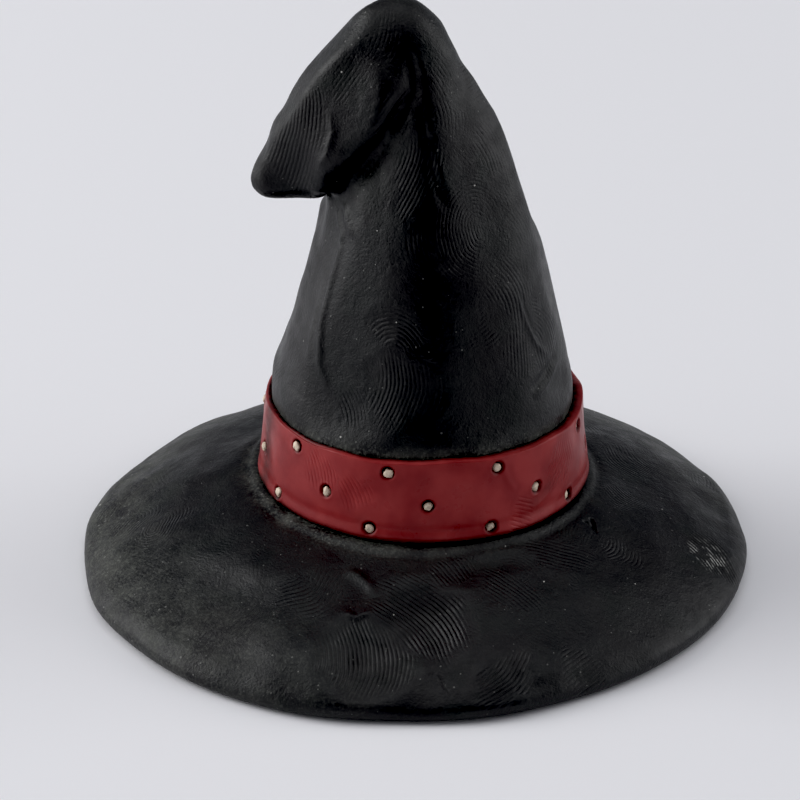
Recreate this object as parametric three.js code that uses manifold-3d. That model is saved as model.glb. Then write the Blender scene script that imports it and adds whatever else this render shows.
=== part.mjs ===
// A small ornamental witch hat, modelled by hand and painted: a brim, a pointed crown whose
// tip folds over to one side, a band wrapped round the foot of the crown, and the cream dots
// pressed into the band.
// Millimetres, +Z up. The origin is the centre of the flat underside, and the tip folds to -X.

import * as THREE from 'three';
import { mergeVertices } from 'three/addons/utils/BufferGeometryUtils.js';
import Module from 'manifold-3d';

const wasm = await Module();
wasm.setup();

// Driving dimensions

const BRIM_RADIUS = 37.8;
const RIM_THICKNESS = 2.3; // at the outer edge
const RIM_ROUNDING = 0.8; // how far the rounded underside of the rim tucks in
const CREST_HEIGHT = 10.6; // of the brim, where it meets the crown
const SEAT_RADIUS = 18.2; // the flat on top of the brim that the crown stands on

const HAT_HEIGHT = 65.8;
const CROWN_SHIFT = 0.8; // the crown stands a little off the brim's centre, towards +X

const BAND_BOTTOM = 10.8;
const BAND_TOP = 20;
const BAND_BOTTOM_RADIUS = 18.55; // outside
const BAND_TOP_RADIUS = 17.7; // outside
const BAND_THICKNESS = 1.0;
const BAND_EDGE = 0.25; // rounding of its outer edges
const BAND_SEAM = 0.4; // between the strip's two ends, at the back

const PIT_RADIUS = 0.74;
const PIT_DEPTH = 0.6;
const DOT_RADIUS = 0.5;
const DOT_HEIGHT = 0.42;
const DOT_GAP = 0.12; // between the dot and the floor of its pit

const TIP_DEPTH = 0.82; // the folded tip is flattened front to back

const CROWN_SIDES = 48;
const TIP_SIDES = 28;
const BRIM_SIDES = 72;
const BAND_SIDES = 72;
const DOT_SIDES = 12;

// Places along the band, in degrees from +X, and heights as a part of the band's height

const DOT_ROWS = [
  { row: 'high', height: 0.85, angles: [219, 258, 297, 342, 22, 61, 98, 139, 178] },
  { row: 'middle', height: 0.46, angles: [193, 235, 272, 313, 352, 38, 79, 118, 155] },
  { row: 'low', height: 0.13, angles: [210, 252, 294, 330, 10, 54, 100, 133, 170] },
];

// Finishes

const blackPaint = new THREE.MeshStandardMaterial({ color: 0x16171a, roughness: 0.55, metalness: 0 });
const redPaint = new THREE.MeshStandardMaterial({ color: 0x6a1a20, roughness: 0.4, metalness: 0 });
const creamPaint = new THREE.MeshStandardMaterial({ color: 0xe0cfb4, roughness: 0.5, metalness: 0 });

// Helpers

const vector = (x, y) => new THREE.Vector2(x, y);

// A turned solid about Z. The outline is [radius, height] pairs from the bottom of the axis to its top.
function turned(outline, sides) {
  const geometry = new THREE.LatheGeometry(outline.map(([radius, height]) => vector(radius, height)), sides);
  geometry.rotateX(Math.PI / 2);
  return closed(geometry);
}

// Keeps only the positions, with shared corners merged.
function closed(geometry) {
  geometry.deleteAttribute('normal');
  geometry.deleteAttribute('uv');
  return mergeVertices(geometry, 1e-4);
}

function toSolid(geometry) {
  const vertProperties = new Float32Array(geometry.attributes.position.array);
  const triVerts = new Uint32Array(geometry.index.array);
  return new wasm.Manifold(new wasm.Mesh({ numProp: 3, vertProperties, triVerts }));
}

function toGeometry(solid) {
  const mesh = solid.getMesh();
  const geometry = new THREE.BufferGeometry();
  geometry.setAttribute('position', new THREE.BufferAttribute(mesh.vertProperties, 3));
  geometry.setIndex(new THREE.BufferAttribute(mesh.triVerts, 1));
  geometry.computeVertexNormals();
  return geometry;
}

function named(name, geometry, material) {
  const mesh = new THREE.Mesh(geometry, material);
  mesh.name = name;
  return mesh;
}

// Points along a smooth curve through a few [radius, height] pairs.
function smooth(pairs, steps) {
  const curve = new THREE.SplineCurve(pairs.map(([radius, height]) => vector(radius, height)));
  return curve.getPoints(steps).map((point) => [Math.max(point.x, 0), point.y]);
}

// Brim: a low dome, thinnest at its rounded rim, with a flat underside and a flat seat on top

function makeBrim() {
  const foot = BRIM_RADIUS - RIM_ROUNDING;
  const slope = smooth([
    [BRIM_RADIUS - 0.5, RIM_THICKNESS],
    [34.2, 4.4],
    [29, 7],
    [23.4, 9.1],
    [SEAT_RADIUS, CREST_HEIGHT],
  ], 8);
  const outline = [
    [0, 0],
    [foot, 0],
    [BRIM_RADIUS - 0.2, 0.45],
    [BRIM_RADIUS, 1.2],
    [BRIM_RADIUS - 0.1, 1.9],
    ...slope,
    [0, CREST_HEIGHT],
  ];
  return named('brim', turned(outline, BRIM_SIDES), blackPaint);
}

// Crown: a leaning cone with a rounded top, joined to a short fat horn that hangs to one side

const CONE_OUTLINE = [
  [17.25, CREST_HEIGHT],
  [16.7, 15],
  [16.45, 20],
  [16.6, 22.8],
  [16, 25],
  [14.7, 30.5],
  [13.4, 35.3],
  [11.9, 40],
  [10.8, 44],
  [9.2, 48],
  [8, 51.3],
  [6.4, 56],
  [4.9, 61.2],
  [3.6, 64],
  [1.8, HAT_HEIGHT - 0.3],
];

// How far the middle of the cone stands to the side of its foot, at each height
const CONE_LEAN = [
  [0, BAND_TOP],
  [0.4, 27],
  [0.4, 46],
  [0, 52],
  [-1.6, 59.5],
  [-3, HAT_HEIGHT],
];

// The middle line of the folded tip, as [x, z], and its radius at each of those points
const TIP_LINE = [
  [-2.2, 59.5],
  [-5, 60.9],
  [-7.2, 58.3],
  [-9.1, 55],
  [-11, 51.5],
  [-12.8, 47.9],
  [-14, 44],
];
const TIP_RADII = [3.2, 3.7, 4.3, 4.7, 4.9, 5.2, 4.3];

function leanAt(height) {
  const next = CONE_LEAN.findIndex(([, level]) => level >= height);
  if (next <= 0) {
    return next === 0 ? CONE_LEAN[0][0] : CONE_LEAN.at(-1)[0];
  }
  const [x0, z0] = CONE_LEAN[next - 1];
  const [x1, z1] = CONE_LEAN[next];
  return THREE.MathUtils.lerp(x0, x1, THREE.MathUtils.smoothstep(height, z0, z1));
}

function coneSolid() {
  const side = smooth(CONE_OUTLINE, 26);
  const geometry = turned([[0, CREST_HEIGHT], ...side, [0, HAT_HEIGHT]], CROWN_SIDES);
  const position = geometry.attributes.position;
  for (let i = 0; i < position.count; i += 1) {
    position.setX(i, position.getX(i) + leanAt(position.getZ(i)));
  }
  return toSolid(geometry);
}

// A straight turned blank whose rings are carried onto the tip's middle line.
function tipSolid() {
  const line = new THREE.SplineCurve(TIP_LINE.map(([x, z]) => vector(x, z)));
  const steps = 16;
  const last = TIP_RADII.length - 1;
  const radii = new THREE.SplineCurve(TIP_RADII.map((radius, i) => vector(i / last, radius)));
  const outline = [[0, 0]];
  for (let i = 0; i <= steps; i += 1) {
    outline.push([radii.getPoint(i / steps).y, i / steps]);
  }
  outline.push([0, 1]);
  const geometry = turned(outline, TIP_SIDES);
  const position = geometry.attributes.position;
  for (let i = 0; i < position.count; i += 1) {
    const along = THREE.MathUtils.clamp(position.getZ(i), 0, 1);
    const middle = line.getPoint(along);
    const heading = line.getTangent(along);
    const across = position.getX(i);
    position.setXYZ(
      i,
      middle.x + heading.y * across,
      position.getY(i) * TIP_DEPTH,
      middle.y - heading.x * across,
    );
  }
  return toSolid(geometry);
}

function makeCrown() {
  const solid = coneSolid().add(tipSolid());
  const crown = named('crown', toGeometry(solid), blackPaint);
  crown.position.x = CROWN_SHIFT;
  return crown;
}

// Band: a flared strip round the foot of the crown, its ends meeting at the back

function bandRadius(height) {
  return THREE.MathUtils.mapLinear(height, BAND_BOTTOM, BAND_TOP, BAND_BOTTOM_RADIUS, BAND_TOP_RADIUS);
}

// Carries a small solid that points along +Z to a place on the band, facing out.
function onBand(solid, angle, height, depth) {
  const flare = Math.atan2(BAND_BOTTOM_RADIUS - BAND_TOP_RADIUS, BAND_TOP - BAND_BOTTOM);
  const place = new THREE.Object3D();
  place.rotation.set(0, Math.PI / 2 - flare, angle, 'ZYX');
  place.updateMatrix();
  const outward = new THREE.Vector3(0, 0, 1).applyEuler(place.rotation);
  const radius = bandRadius(height);
  place.position.set(radius * Math.cos(angle), radius * Math.sin(angle), height);
  place.position.addScaledVector(outward, -depth);
  place.updateMatrix();
  return solid.clone().applyMatrix4(place.matrix);
}

function eachDot(visit) {
  for (const { row, height, angles } of DOT_ROWS) {
    const level = THREE.MathUtils.lerp(BAND_BOTTOM, BAND_TOP, height);
    angles.forEach((angle, i) => visit(`dot_${row}_${i + 1}`, THREE.MathUtils.degToRad(angle), level));
  }
}

function makeBand() {
  const inside = (height) => bandRadius(height) - BAND_THICKNESS;
  const ring = toSolid(turned([
    [inside(BAND_BOTTOM), BAND_BOTTOM],
    [bandRadius(BAND_BOTTOM) - BAND_EDGE, BAND_BOTTOM],
    [bandRadius(BAND_BOTTOM + BAND_EDGE), BAND_BOTTOM + BAND_EDGE],
    [bandRadius(BAND_TOP - BAND_EDGE), BAND_TOP - BAND_EDGE],
    [bandRadius(BAND_TOP) - BAND_EDGE, BAND_TOP],
    [inside(BAND_TOP), BAND_TOP],
    [inside(BAND_BOTTOM), BAND_BOTTOM],
  ], BAND_SIDES));
  const seam = new THREE.BoxGeometry(BAND_SEAM, BAND_BOTTOM_RADIUS, BAND_TOP);
  seam.translate(0, BAND_BOTTOM_RADIUS, (BAND_TOP + BAND_BOTTOM) / 2);
  let solid = ring.subtract(toSolid(closed(seam)));
  const drill = turned([[0, 0], [PIT_RADIUS, 0], [PIT_RADIUS, 1 + PIT_DEPTH], [0, 1 + PIT_DEPTH]], DOT_SIDES);
  eachDot((name, angle, height) => {
    solid = solid.subtract(toSolid(onBand(drill, angle, height, PIT_DEPTH)));
  });
  const band = named('hatband', toGeometry(solid), redPaint);
  band.position.x = CROWN_SHIFT;
  return band;
}

// Dots: low round pellets of cream, one in each pit

function makeDots() {
  const pellet = turned([
    [0, 0],
    [DOT_RADIUS * 0.8, 0],
    [DOT_RADIUS, DOT_HEIGHT * 0.35],
    [DOT_RADIUS * 0.85, DOT_HEIGHT * 0.75],
    [DOT_RADIUS * 0.45, DOT_HEIGHT * 0.96],
    [0, DOT_HEIGHT],
  ], DOT_SIDES);
  const dots = new THREE.Group();
  dots.position.x = CROWN_SHIFT;
  eachDot((name, angle, height) => {
    dots.add(named(name, onBand(pellet, angle, height, PIT_DEPTH - DOT_GAP), creamPaint));
  });
  return dots;
}

const hat = new THREE.Group();
hat.add(makeBrim(), makeCrown(), makeBand(), makeDots());

export default hat;
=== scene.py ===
# A small ornamental witch hat: clay pressed into shape by hand and painted. The brim and the
# crown are satin black and covered with fingerprints, the band is semi-gloss red, and cream
# dots sit in its pricked pits.
# Shapes are worked out in millimetres, and each finished piece is scaled to metres.

import math
import random
from dataclasses import dataclass

import bmesh
import bpy
import numpy as np
from mathutils import Matrix, Vector, noise


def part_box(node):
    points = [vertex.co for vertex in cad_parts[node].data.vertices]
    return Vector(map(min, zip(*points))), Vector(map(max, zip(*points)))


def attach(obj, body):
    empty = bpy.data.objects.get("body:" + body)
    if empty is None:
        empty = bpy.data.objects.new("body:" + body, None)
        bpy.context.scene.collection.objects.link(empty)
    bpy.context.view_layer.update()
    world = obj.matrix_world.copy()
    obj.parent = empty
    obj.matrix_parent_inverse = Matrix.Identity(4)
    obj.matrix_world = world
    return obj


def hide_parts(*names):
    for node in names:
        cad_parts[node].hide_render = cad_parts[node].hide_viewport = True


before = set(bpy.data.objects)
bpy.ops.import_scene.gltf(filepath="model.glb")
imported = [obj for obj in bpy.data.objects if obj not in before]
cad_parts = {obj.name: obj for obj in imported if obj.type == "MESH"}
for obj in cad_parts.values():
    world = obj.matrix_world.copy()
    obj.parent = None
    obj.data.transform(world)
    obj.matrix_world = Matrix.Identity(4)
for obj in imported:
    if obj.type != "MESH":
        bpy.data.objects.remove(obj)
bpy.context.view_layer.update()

MM = 0.001
TURN = 2 * math.pi

brim_low, brim_high = (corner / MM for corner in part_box("brim"))
crown_low, crown_high = (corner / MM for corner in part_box("crown"))
band_low, band_high = (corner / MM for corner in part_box("hatband"))

BRIM_RADIUS = brim_high.x
CREST = brim_high.z
SEAT_RADIUS = 18.2
RIM_THICKNESS = 2.3
RIM_STEP = 30  # degrees between two of the rim's radii, counted from +X
RIM_RADII = (37.8, 38.3, 38.1, 37.8, 37.5, 36.9, 37.3, 38.2, 38.8, 38.2, 37.4, 37.4)
BRIM_STEPS = 480  # points round the brim
BRIM_UP = (0, 1, 0)  # the way a fingertip points on the brim, before it is turned

CROWN_SKIN = 0.375  # one square of the crown's skin
CROWN_UP = (0, 0, 1)  # the way a fingertip points on the crown and the band

BAND_X = (band_low.x + band_high.x) / 2
BAND_FOOT_RADIUS = (band_high.x - band_low.x) / 2
BAND_TOP_RADIUS = BAND_FOOT_RADIUS - 0.85
BAND_THICKNESS = 1.0
BAND_STEPS = 560  # points round the band
BAND_FLARE = math.atan2(BAND_FOOT_RADIUS - BAND_TOP_RADIUS, band_high.z - band_low.z)

RIDGE = 0.46  # from one skin ridge to the next
RIDGE_DEPTH = 0.06

PIT_RADIUS = 0.72
PIT_DEPTH = 0.5

# paint colours, as linear red, green and blue
BLUE_BLACK = (0.0042, 0.0046, 0.0054)
VIOLET_BLACK = (0.006, 0.0053, 0.0062)
GREEN_BLACK = (0.0042, 0.0062, 0.0056)
# grey of dust, which on the brim's far half and left side is also painted sheen
DUST_AND_SHEEN_GREY = (0.15, 0.155, 0.135)
POWDER_GREY = (0.3, 0.3, 0.28)
LINT_WHITE = (0.5, 0.49, 0.46)
WORN_GREY = (0.4, 0.4, 0.38)
DEEP_RED = (0.235, 0.025, 0.027)
BRIGHT_RED = (0.335, 0.045, 0.045)
# dark brown for the band's darker paint, which at the band's sides is painted shade
SHADE_AND_DARK_BROWN = (0.014, 0.006, 0.006)
LINT_PINK = (0.45, 0.4, 0.37)
CREAM = (0.72, 0.6, 0.47)
DIRTY_CREAM = (0.4, 0.27, 0.19)
FLOOR_WHITE = (0.86, 0.855, 0.88)


# -------- clay: meshes held as arrays


class Clay:
    """A mesh object whose points are moved as arrays, in millimetres."""

    def __init__(self, piece):
        self.piece = piece
        self.read()

    def read(self):
        mesh = self.piece.data
        count = len(mesh.vertices)
        points = np.empty(count * 3)
        mesh.vertices.foreach_get("co", points)
        self.points = points.reshape(count, 3)
        self.find_normals()
        self.phase = np.zeros(count)
        self.strength = np.zeros(count)

    def find_normals(self):
        normals = np.empty(len(self.piece.data.vertices) * 3)
        self.piece.data.vertices.foreach_get("normal", normals)
        self.normals = normals.reshape(-1, 3)

    def settle(self):
        """Writes the moved points back, so that the normals follow the new shape."""
        mesh = self.piece.data
        mesh.vertices.foreach_set("co", self.points.ravel())
        mesh.update()
        self.find_normals()

    def nearest(self, place):
        """The point of the surface closest to a place, and the way it faces."""
        index = np.argmin(((self.points - np.array(place)) ** 2).sum(1))
        return self.points[index].copy(), self.normals[index].copy()

    def push(self, amount):
        """Moves each point out along its normal."""
        self.points += self.normals * amount[:, None]

    def keep(self, name, values):
        """Stores one number for each point, for the paint to read."""
        layer = self.piece.data.attributes.new(name, "FLOAT", "POINT")
        layer.data.foreach_set("value", values.astype(np.float32))


def smoothstep(low, high, values):
    share = np.clip((values - low) / (high - low), 0, 1)
    return share * share * (3 - 2 * share)


def bell(values, width):
    """1 where a value is 0, sinking softly to 0 over about the width to either side."""
    return np.exp(-((values / width) ** 2))


def distance(points, place):
    return np.linalg.norm(points - np.array(place), axis=1)


def around(points, centre_x=0.0):
    """Each point's angle round an upright axis, and its distance from that axis."""
    aside = points[:, 0] - centre_x
    return np.arctan2(points[:, 1], aside), np.hypot(aside, points[:, 1])


def noise_at(points, size, shift=Vector()):
    """Soft noise from -1 to 1 at each point, in blobs of about the given size."""
    return np.array([noise.noise(Vector(point) / size + shift) for point in points])


def distance_to_line(points, line):
    """How far each point is from a chain of points, and how far along the chain it lies, 0 to 1."""
    closest = np.full(len(points), np.inf)
    along = np.zeros(len(points))
    for i, (start, end) in enumerate(zip(line, line[1:])):
        step = end - start
        share = np.clip((points - start) @ step / (step @ step), 0, 1)
        gap = np.linalg.norm(points - start - share[:, None] * step, axis=1)
        nearer = gap < closest
        closest[nearer] = gap[nearer]
        along[nearer] = (i + share[nearer]) / (len(line) - 1)
    return closest, along


def groove(clay, line, width, depth, tapered=True):
    """Scores the surface along a line, or raises a ridge where the depth is negative."""
    chain = [clay.nearest(place)[0] for place in line]
    gap, along = distance_to_line(clay.points, chain)
    amount = depth * bell(gap, width)
    if tapered:
        amount *= np.clip(np.sin(along * math.pi), 0, 1) ** 0.6
    clay.push(-amount)


def dent(clay, place, reach, depth, stretch=1.0, along=(0, 0, 1), lip=0.0):
    """A soft fingertip dent, longer by stretch along one direction, with the clay it pushed up round it."""
    centre, outward = clay.nearest(place)
    across, up = tangents(outward, along)
    offset = clay.points - centre
    gap = np.sqrt((offset @ across) ** 2 + (offset @ up / stretch) ** 2 + (offset @ outward) ** 2)
    gap /= reach
    clay.push(lip * bell(gap - 1.35, 0.3) - depth * bell(gap, 1))


def flatten(clay, place, reach, depth, softness=0.16, facing=None):
    """Presses the surface towards a plane, which leaves a facet with a soft border."""
    centre, outward = clay.nearest(place)
    if facing is not None:
        centre, outward = np.array(place), np.array(Vector(facing).normalized())
    height = (clay.points - centre) @ outward + depth
    excess = softness * np.logaddexp(0, height / softness)
    near = np.exp(-((distance(clay.points, centre) / reach) ** 4))
    if facing is None:
        near *= 1 - smoothstep(depth + 0.4, depth + 1.4, height)
    clay.points -= outward * (excess * near)[:, None]


def pull(clay, place, reach, move):
    """Drags the clay round a place along with it."""
    near = bell(distance(clay.points, place), reach)
    clay.points += near[:, None] * np.array(move)


def lumps(clay, size, height, seed):
    """Gentle unevenness all over."""
    shift = Vector((seed * 7.3, seed * 3.1, seed * 5.7))
    clay.push(noise_at(clay.points, size, shift) * height)


def tangents(outward, along):
    """Two directions in the surface: across, and up towards along."""
    outward = np.array(outward)
    up = np.array(along, float)
    up -= outward * (up @ outward)
    up /= np.linalg.norm(up)
    return np.cross(up, outward), up


# -------- fingerprints


def ridge_run(kind, across, up):
    """How far (across, up) lies from the middle ridge of a print, counted across the ridges."""
    if kind == "whorl":
        return np.hypot(across * 1.08, up - np.clip(up, -0.7, 0.7))
    if kind == "loop":
        return np.hypot(across, np.maximum(up, 0)) + 0.012 * up**2
    if kind == "arch":
        return up + 2.4 * np.exp(-((across / 3.2) ** 2))
    return across + 0.035 * up**2


@dataclass
class Print:
    """One fingertip pressed into the clay. A deep print has its ridges cut into the shape as well."""

    place: Vector
    kind: str
    size: tuple
    turn: float = 0  # in degrees
    strength: float = 1.0
    core: tuple = (0, 0)  # the middle of the pattern
    press: float = 0.08  # how far the finger sinks in
    ridge: float = RIDGE
    deep: bool = False


def lay_finger(clay, finger, along, points, normals):
    """Which of the points a fingertip covers, with each one's distance across it and up it."""
    centre, outward = clay.nearest(finger.place)
    side, rise = tangents(outward, along)
    cos, sin = math.cos(math.radians(finger.turn)), math.sin(math.radians(finger.turn))
    side, rise = side * cos + rise * sin, rise * cos - side * sin
    offset = points - centre
    near = (np.linalg.norm(offset, axis=1) < max(finger.size) * 1.3) & (normals @ outward > 0.2)
    return near, offset[near] @ side, offset[near] @ rise


def press_print(clay, finger, along, patchy):
    """Presses one fingertip on the surface. The newest print hides what it covers."""
    near, across, up = lay_finger(clay, finger, along, clay.points, clay.normals)
    reach = np.hypot(across / finger.size[0], up / finger.size[1])
    wander = clay.nearest(finger.place)[0].sum()
    angle = np.arctan2(up, across)
    reach += 0.06 * np.sin(3 * angle + wander) + 0.04 * np.sin(7 * angle + wander)
    bent = across - finger.core[0] + 0.2 * np.sin(up * 0.6 + wander)
    risen = up - finger.core[1] + 0.2 * np.sin(across * 0.5 + wander * 1.7)
    phase = ridge_run(finger.kind, bent, risen) * TURN / finger.ridge
    inked = (1 - smoothstep(0.62, 1.08, reach + 0.3 * patchy[near])) * finger.strength
    old = clay.strength[near]
    clay.phase[near] = np.where(inked > old, phase, clay.phase[near])
    clay.strength[near] = np.maximum(inked, old) - np.minimum(inked, old)
    sunk = (1 - smoothstep(0.2, 1.1, reach)) * finger.press
    lip = 0.15 * finger.press * bell(reach - 1.15, 0.12)
    amount = np.zeros(len(clay.points))
    amount[near] = lip - sunk
    clay.push(amount)


def press_prints(clay, fingers, along, ridge_depth=RIDGE_DEPTH):
    """Presses every print, and cuts the ridges of the deep ones into the shape itself."""
    patchy = noise_at(clay.points, 2.0)
    for finger in sorted(fingers, key=lambda each: each.deep):
        press_print(clay, finger, along, patchy)
    clay.phase += 1.6 * noise_at(clay.points, 2.4) + 0.5 * noise_at(clay.points, 0.8)
    clay.settle()
    cut = np.zeros(len(clay.points))
    for finger in fingers:
        if finger.deep:
            gap = distance(clay.points, finger.place) / max(finger.size)
            cut = np.maximum(cut, 1 - smoothstep(0.8, 1.05, gap))
    share = clay.strength * cut * (0.85 + 0.5 * patchy)
    clay.push(np.sin(clay.phase) * share * ridge_depth / 2)
    clay.strength *= 1 - 0.6 * cut


def scattered_prints(seed, count, place, angles, spans, strengths=(0.25, 0.6), sizes=(3.2, 4.6)):
    """Everyday fingerprints scattered over a span of angles and one of radii or heights."""
    chance = random.Random(seed)
    fingers = []
    for _ in range(count):
        width = chance.uniform(*sizes)
        finger = Print(
            place(chance.uniform(*angles), chance.uniform(*spans)),
            chance.choice(["whorl", "loop", "flow", "flow", "arch"]),
            (width, width * chance.uniform(1.0, 1.5)),
            turn=chance.uniform(-70, 70),
            strength=chance.uniform(*strengths),
            press=chance.uniform(0.02, 0.08),
            ridge=RIDGE * chance.uniform(0.9, 1.15),
        )
        fingers.append(finger)
    return fingers


# -------- blanks


def new_piece(name, bm):
    mesh = bpy.data.meshes.new(name)
    bm.to_mesh(mesh)
    bm.free()
    piece = bpy.data.objects.new(name, mesh)
    bpy.context.scene.collection.objects.link(piece)
    return piece


def spun(outline, steps, centre_x=0.0, closed=False):
    """A body turned about an upright axis. The outline is (radius, height) pairs."""
    bm = bmesh.new()
    corners = [bm.verts.new((radius, 0, height)) for radius, height in outline]
    pairs = list(zip(corners, corners[1:]))
    if closed:
        pairs.append((corners[-1], corners[0]))
    edges = [bm.edges.new(pair) for pair in pairs]
    turned = {"cent": (0, 0, 0), "axis": (0, 0, 1), "angle": TURN, "steps": steps, "use_merge": True}
    bmesh.ops.spin(bm, geom=corners + edges, **turned)
    bmesh.ops.remove_doubles(bm, verts=bm.verts, dist=1e-4)
    bmesh.ops.recalc_face_normals(bm, faces=bm.faces)
    bmesh.ops.translate(bm, verts=bm.verts, vec=(centre_x, 0, 0))
    return bm


def between(a, b, c, d, share):
    """The point that lies a share of the way from b to c, on the smooth curve through all four."""
    leaning = (c - a) * share
    bending = (2 * a - 5 * b + 4 * c - d) * share**2
    twisting = (3 * b - a - 3 * c + d) * share**3
    return 0.5 * (2 * b + leaning + bending + twisting)


def curve_points(pairs, spacing):
    """Evenly spaced points on a smooth curve through a few pairs."""
    knots = np.array(pairs, float)
    ends = np.vstack([2 * knots[0] - knots[1], knots, 2 * knots[-1] - knots[-2]])
    fine = []
    for a, b, c, d in zip(ends, ends[1:], ends[2:], ends[3:]):
        for share in np.linspace(0, 1, 24, endpoint=False):
            fine.append(between(a, b, c, d, share))
    fine = np.array(fine + [knots[-1]])
    run = np.concatenate([[0], np.cumsum(np.linalg.norm(np.diff(fine, axis=0), axis=1))])
    count = max(2, round(run[-1] / spacing) + 1)
    even = np.linspace(0, run[-1], count)
    return [tuple(pair) for pair in np.column_stack([np.interp(even, run, fine[:, i]) for i in (0, 1)])]


def remeshed(piece, size):
    """Rebuilds the piece as one even skin of small squares."""
    skin = piece.modifiers.new("skin", "REMESH")
    skin.mode = "VOXEL"
    skin.voxel_size = size
    skin.use_smooth_shade = True
    bpy.context.view_layer.update()
    whole = piece.evaluated_get(bpy.context.evaluated_depsgraph_get())
    mesh = bpy.data.meshes.new_from_object(whole)
    piece.modifiers.clear()
    piece.data = mesh
    return piece


def refine(clay, fingers, along, cuts, marks=()):
    """Gives the clay under the deep prints, and other fine marks, enough points to hold them."""
    bm = bmesh.new()
    bm.from_mesh(clay.piece.data)
    middles = np.array([face.calc_center_median() for face in bm.faces])
    normals = np.array([face.normal for face in bm.faces])
    wanted = np.zeros(len(middles), bool)
    for finger in fingers:
        if finger.deep:
            near, across, up = lay_finger(clay, finger, along, middles, normals)
            wanted[near] |= np.hypot(across / finger.size[0], up / finger.size[1]) < 1.15
    for place, reach in marks:
        wanted |= distance(middles, place) < reach
    edges = {edge for face, chosen in zip(bm.faces, wanted) if chosen for edge in face.edges}
    edges = sorted(edges, key=lambda edge: edge.index)
    bmesh.ops.subdivide_edges(bm, edges=edges, cuts=cuts, use_grid_fill=True)
    bm.to_mesh(clay.piece.data)
    bm.free()
    clay.read()


def relax(clay, times, place=None, reach=1.0):
    """Evens out small steps by drawing each point towards its neighbours, all over or round a place."""
    mesh = clay.piece.data
    ends = np.empty(len(mesh.edges) * 2, int)
    mesh.edges.foreach_get("vertices", ends)
    one, other = ends.reshape(-1, 2).T
    count = len(clay.points)
    shared = np.bincount(one, minlength=count) + np.bincount(other, minlength=count)
    drawn = np.full((count, 1), 0.6)
    if place is not None:
        drawn[:, 0] *= bell(distance(clay.points, place), reach)
    for _ in range(times):
        total = np.zeros((count, 3))
        for axis in range(3):
            total[:, axis] += np.bincount(one, clay.points[other, axis], count)
            total[:, axis] += np.bincount(other, clay.points[one, axis], count)
        clay.points = clay.points * (1 - drawn) + total / shared[:, None] * drawn
    clay.settle()


def finish_piece(clay, node, paint):
    """Stores the prints, scales the piece to metres, paints it and sets it on the frame."""
    piece = clay.piece
    clay.settle()
    clay.keep("ridge_phase", clay.phase)
    clay.keep("ridge_strength", clay.strength)
    mesh = piece.data
    mesh.transform(Matrix.Scale(MM, 4))
    mesh.shade_smooth()
    mesh.materials.append(paint)
    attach(piece, "root")
    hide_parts(node)


# -------- paint


def add(tree, kind, inputs=(), **settings):
    """A new node, with its inputs set to values or joined to sockets by name or number."""
    made = tree.nodes.new(kind)
    for name, value in settings.items():
        setattr(made, name, value)
    for name, value in dict(inputs).items():
        if isinstance(value, bpy.types.NodeSocket):
            tree.links.new(value, made.inputs[name])
        else:
            made.inputs[name].default_value = value
    return made


def maths(tree, operation, first, second=0.0, clamp=False):
    made = add(tree, "ShaderNodeMath", {0: first, 1: second}, operation=operation, use_clamp=clamp)
    return made.outputs[0]


def ranged(tree, value, low, high, to_low=0.0, to_high=1.0):
    inputs = {"Value": value, "From Min": low, "From Max": high, "To Min": to_low, "To Max": to_high}
    return add(tree, "ShaderNodeMapRange", inputs, interpolation_type="SMOOTHSTEP").outputs["Result"]


def mixed(tree, share, first, second):
    """One colour over another. Sockets 6 and 7 of the node take the colours, and 2 gives the result."""
    inputs = {0: share}
    for number, colour in ((6, first), (7, second)):
        inputs[number] = colour if isinstance(colour, bpy.types.NodeSocket) else (*colour, 1)
    return add(tree, "ShaderNodeMix", inputs, data_type="RGBA").outputs[2]


def stored(tree, name):
    """The number kept at each point under a name."""
    return add(tree, "ShaderNodeAttribute", attribute_name=name).outputs["Fac"]


def use(tree, group, inputs):
    """A node group, placed with its own values."""
    return add(tree, "ShaderNodeGroup", inputs, node_tree=group)


def cloud(tree, where, size, detail=2.0, roughness=0.5):
    """Soft noise whose blobs are about the given size, in millimetres."""
    inputs = {"Vector": where, "Scale": 1 / (size * MM), "Detail": detail, "Roughness": roughness}
    return add(tree, "ShaderNodeTexNoise", inputs).outputs["Fac"]


def new_group(name, inputs, outputs):
    """An empty node group whose sockets are (name, type, default) and (name, type)."""
    group = bpy.data.node_groups.new(name, "ShaderNodeTree")
    for label, kind, default in inputs:
        made = group.interface.new_socket(label, in_out="INPUT", socket_type=kind)
        if default is not None:
            made.default_value = default
    for label, kind in outputs:
        group.interface.new_socket(label, in_out="OUTPUT", socket_type=kind)
    return group, group.nodes.new("NodeGroupInput"), group.nodes.new("NodeGroupOutput")


FLOAT = "NodeSocketFloat"
VECTOR = "NodeSocketVector"


def make_skin_ridges():
    """Fingerprint ridges with broad crests, from the phase and strength stored on the surface."""
    group, given, out = new_group("skin ridges", [("Position", VECTOR, None)], [("Height", FLOAT)])
    where = given.outputs["Position"]
    waver = maths(group, "SUBTRACT", cloud(group, where, 0.5, 1.0), 0.5)
    swing = maths(group, "SINE", maths(group, "ADD", stored(group, "ridge_phase"), waver))
    below = add(group, "ShaderNodeMath", {0: swing, 1: -0.5, 2: 0.5}, operation="MULTIPLY_ADD").outputs[0]
    valley = maths(group, "MULTIPLY", maths(group, "POWER", below, 2.0), 2.0)
    wave = maths(group, "SUBTRACT", 1.0, valley)
    patchy = ranged(group, cloud(group, where, 1.6, 2.0), 0.3, 0.6, 0.25, 1.0)
    mask = maths(group, "MULTIPLY", stored(group, "ridge_strength"), patchy)
    group.links.new(maths(group, "MULTIPLY", wave, mask), out.inputs["Height"])
    return group


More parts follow.
